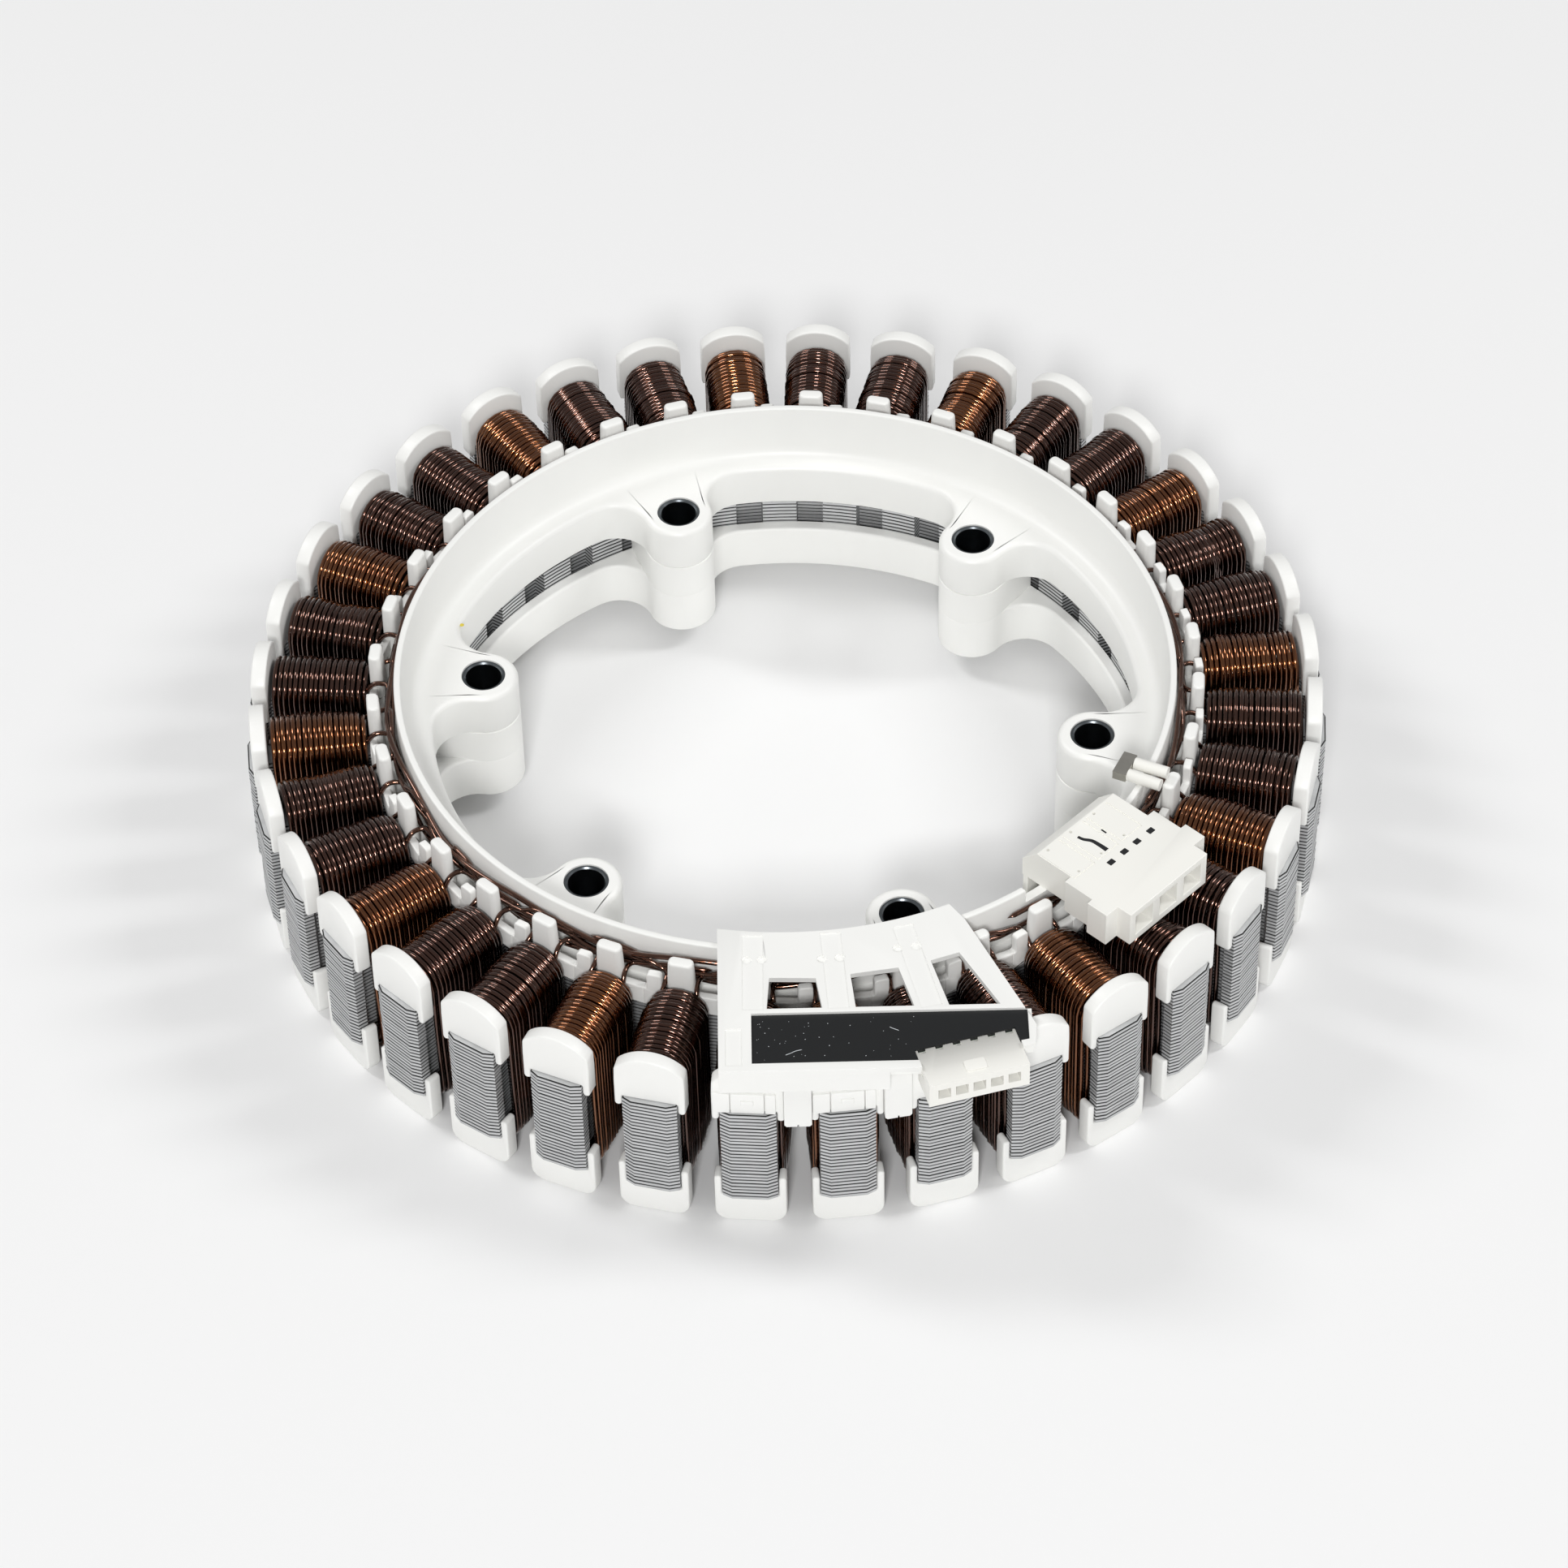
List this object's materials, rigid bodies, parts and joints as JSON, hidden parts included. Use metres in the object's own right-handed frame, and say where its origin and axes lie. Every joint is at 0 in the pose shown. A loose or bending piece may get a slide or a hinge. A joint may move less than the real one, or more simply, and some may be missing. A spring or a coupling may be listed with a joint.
{
  "type": "wound stator assembly",
  "caption": "Ring-shaped wound stator of an outer-rotor direct-drive motor: laminated teeth with coils, white insulators, bolt bosses, sensor housing and power connector.",
  "frame": {"origin": "on the motor axis, on the plane of the undersides of the lower winding caps", "axes": "+Z along the motor axis towards the sensor housing; +X through the centre of one mounting bolt"},
  "size_m": [0.2678, 0.2701, 0.061],
  "materials": {
    "electrical_steel": "laminated, dull grey with brown tint",
    "white_pbt": "satin off-white moulding",
    "sleeve_steel": "plated, bright edge",
    "winding_enamel": "glossy orange-brown wire enamel",
    "crossover_enamel": "glossy dark brown wire enamel",
    "board_laminate": "green solder mask",
    "black_resin": "satin black potting with dust",
    "black_epoxy": "moulded epoxy",
    "connector_nylon": "satin white nylon",
    "tinned_brass": "tinned"
  },
  "bodies": {
    "root": {"lamination_core": "electrical_steel", "upper_insulator": "white_pbt", "lower_insulator": "white_pbt", "bolt_sleeves": "sleeve_steel", "crossover_u": "crossover_enamel", "crossover_v": "crossover_enamel", "crossover_w": "crossover_enamel", "sensor_housing": "white_pbt", "sensor_board": "board_laminate", "sensor_potting": "black_resin", "hall_sensors": "black_epoxy", "sensor_connector": "connector_nylon", "sensor_pins": "tinned_brass", "power_connector": "connector_nylon", "power_terminals": "tinned_brass", "splice_terminal": "tinned_brass", "splice_sleeves": "connector_nylon", "coil_w_01": "winding_enamel", "coil_u_01": "winding_enamel", "coil_v_01": "winding_enamel", "coil_w_02": "winding_enamel", "coil_u_02": "winding_enamel", "coil_v_02": "winding_enamel", "coil_w_03": "winding_enamel", "coil_u_03": "winding_enamel", "coil_v_03": "winding_enamel", "coil_w_04": "winding_enamel", "coil_u_04": "winding_enamel", "coil_v_04": "winding_enamel", "coil_w_05": "winding_enamel", "coil_u_05": "winding_enamel", "coil_v_05": "winding_enamel", "coil_w_06": "winding_enamel", "coil_u_06": "winding_enamel", "coil_v_06": "winding_enamel", "coil_w_07": "winding_enamel", "coil_u_07": "winding_enamel", "coil_v_07": "winding_enamel", "coil_w_08": "winding_enamel", "coil_u_08": "winding_enamel", "coil_v_08": "winding_enamel", "coil_w_09": "winding_enamel", "coil_u_09": "winding_enamel", "coil_v_09": "winding_enamel", "coil_w_10": "winding_enamel", "coil_u_10": "winding_enamel", "coil_v_10": "winding_enamel", "coil_w_11": "winding_enamel", "coil_u_11": "winding_enamel", "coil_v_11": "winding_enamel", "coil_w_12": "winding_enamel", "coil_u_12": "winding_enamel", "coil_v_12": "winding_enamel"}
  },
  "joints": []
}
